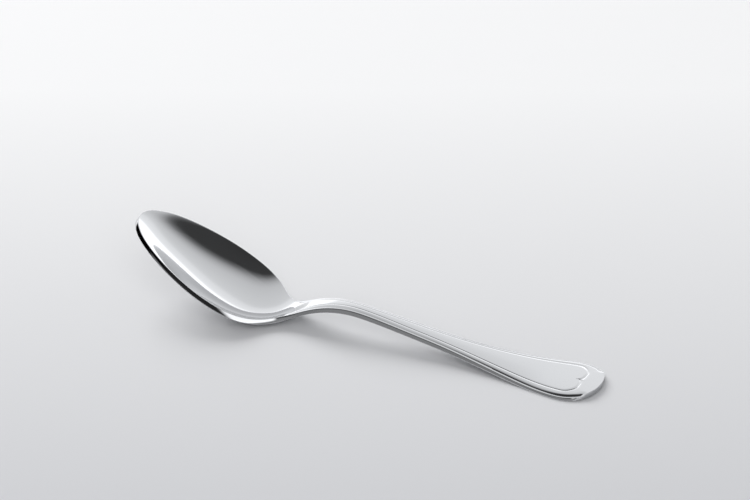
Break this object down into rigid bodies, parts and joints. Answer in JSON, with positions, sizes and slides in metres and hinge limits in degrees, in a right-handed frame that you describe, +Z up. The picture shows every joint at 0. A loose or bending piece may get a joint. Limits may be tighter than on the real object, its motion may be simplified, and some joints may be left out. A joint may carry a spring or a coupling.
{
  "type": "teaspoon",
  "caption": "Polished stainless steel teaspoon with a dished egg-shaped bowl, an arched neck and a flared handle with a threaded border, for stirring and eating.",
  "frame": {"origin": "centre of the bounding box at the table level the spoon rests on", "axes": "+X from the bowl's tip to the handle's end, +Y across the spoon, +Z up from the table with the bowl open upwards"},
  "size_m": [0.1414, 0.031, 0.0242],
  "materials": {
    "steel": "mirror polished stainless steel with fine polishing marks"
  },
  "bodies": {
    "root": {"bowl": "steel", "neck": "steel", "handle": "steel"}
  },
  "joints": []
}
